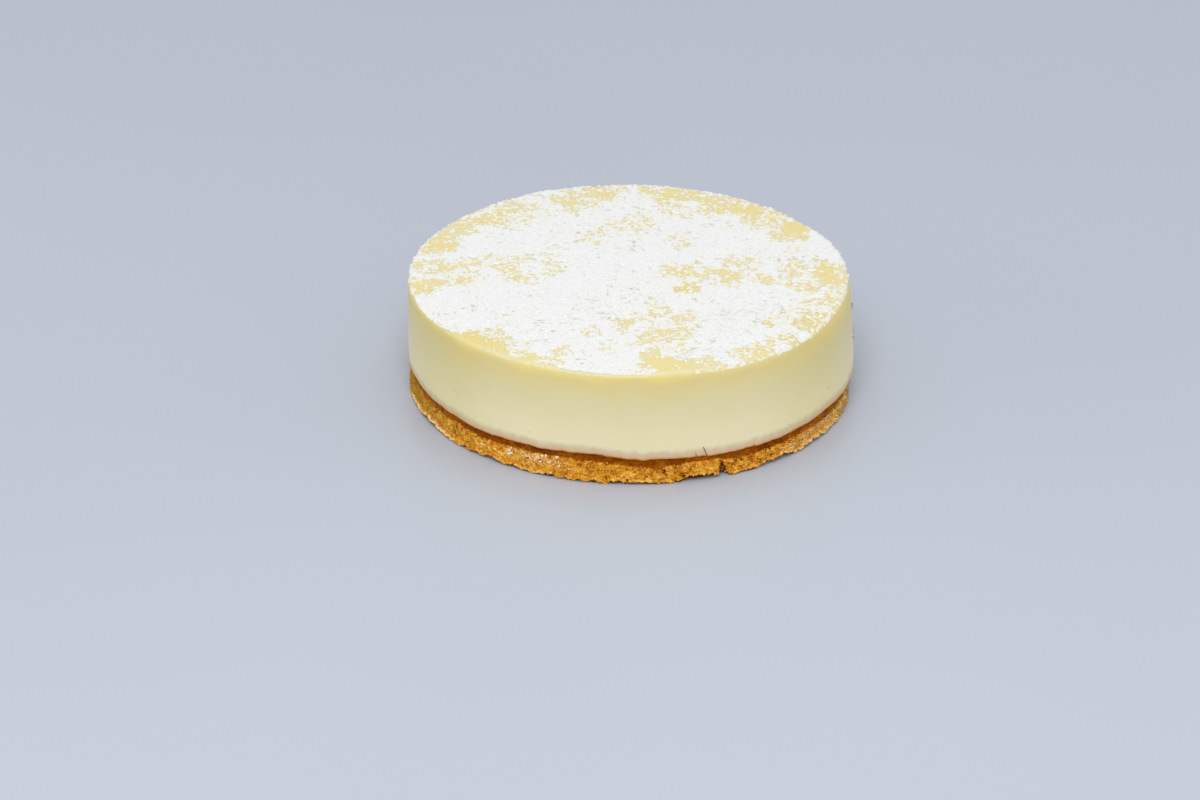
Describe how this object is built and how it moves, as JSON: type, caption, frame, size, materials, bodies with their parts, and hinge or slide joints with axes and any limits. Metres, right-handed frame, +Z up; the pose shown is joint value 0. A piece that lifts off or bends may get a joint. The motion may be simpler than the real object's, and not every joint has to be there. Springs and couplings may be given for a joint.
{
  "type": "jiggly cheesecake",
  "caption": "Round, uncut cheesecake with a smooth pale filling, a thin dark soaked layer, a rough crumb base and a dusting of icing sugar on its flat top.",
  "frame": {"origin": "middle of the cake's foot, on the surface that the crumb base rests on", "axes": "+Z up; the front of the cake, with the crevice in its crumb base a little to the right, faces -Y"},
  "size_m": [0.1868, 0.187, 0.049],
  "materials": {
    "filling": "satin",
    "icing_sugar": "matte",
    "soaked_crumb": "satin",
    "crumb": "matte"
  },
  "bodies": {
    "root": {"filling": "filling", "soaked_layer": "soaked_crumb", "crumb_base": "crumb"}
  },
  "joints": []
}
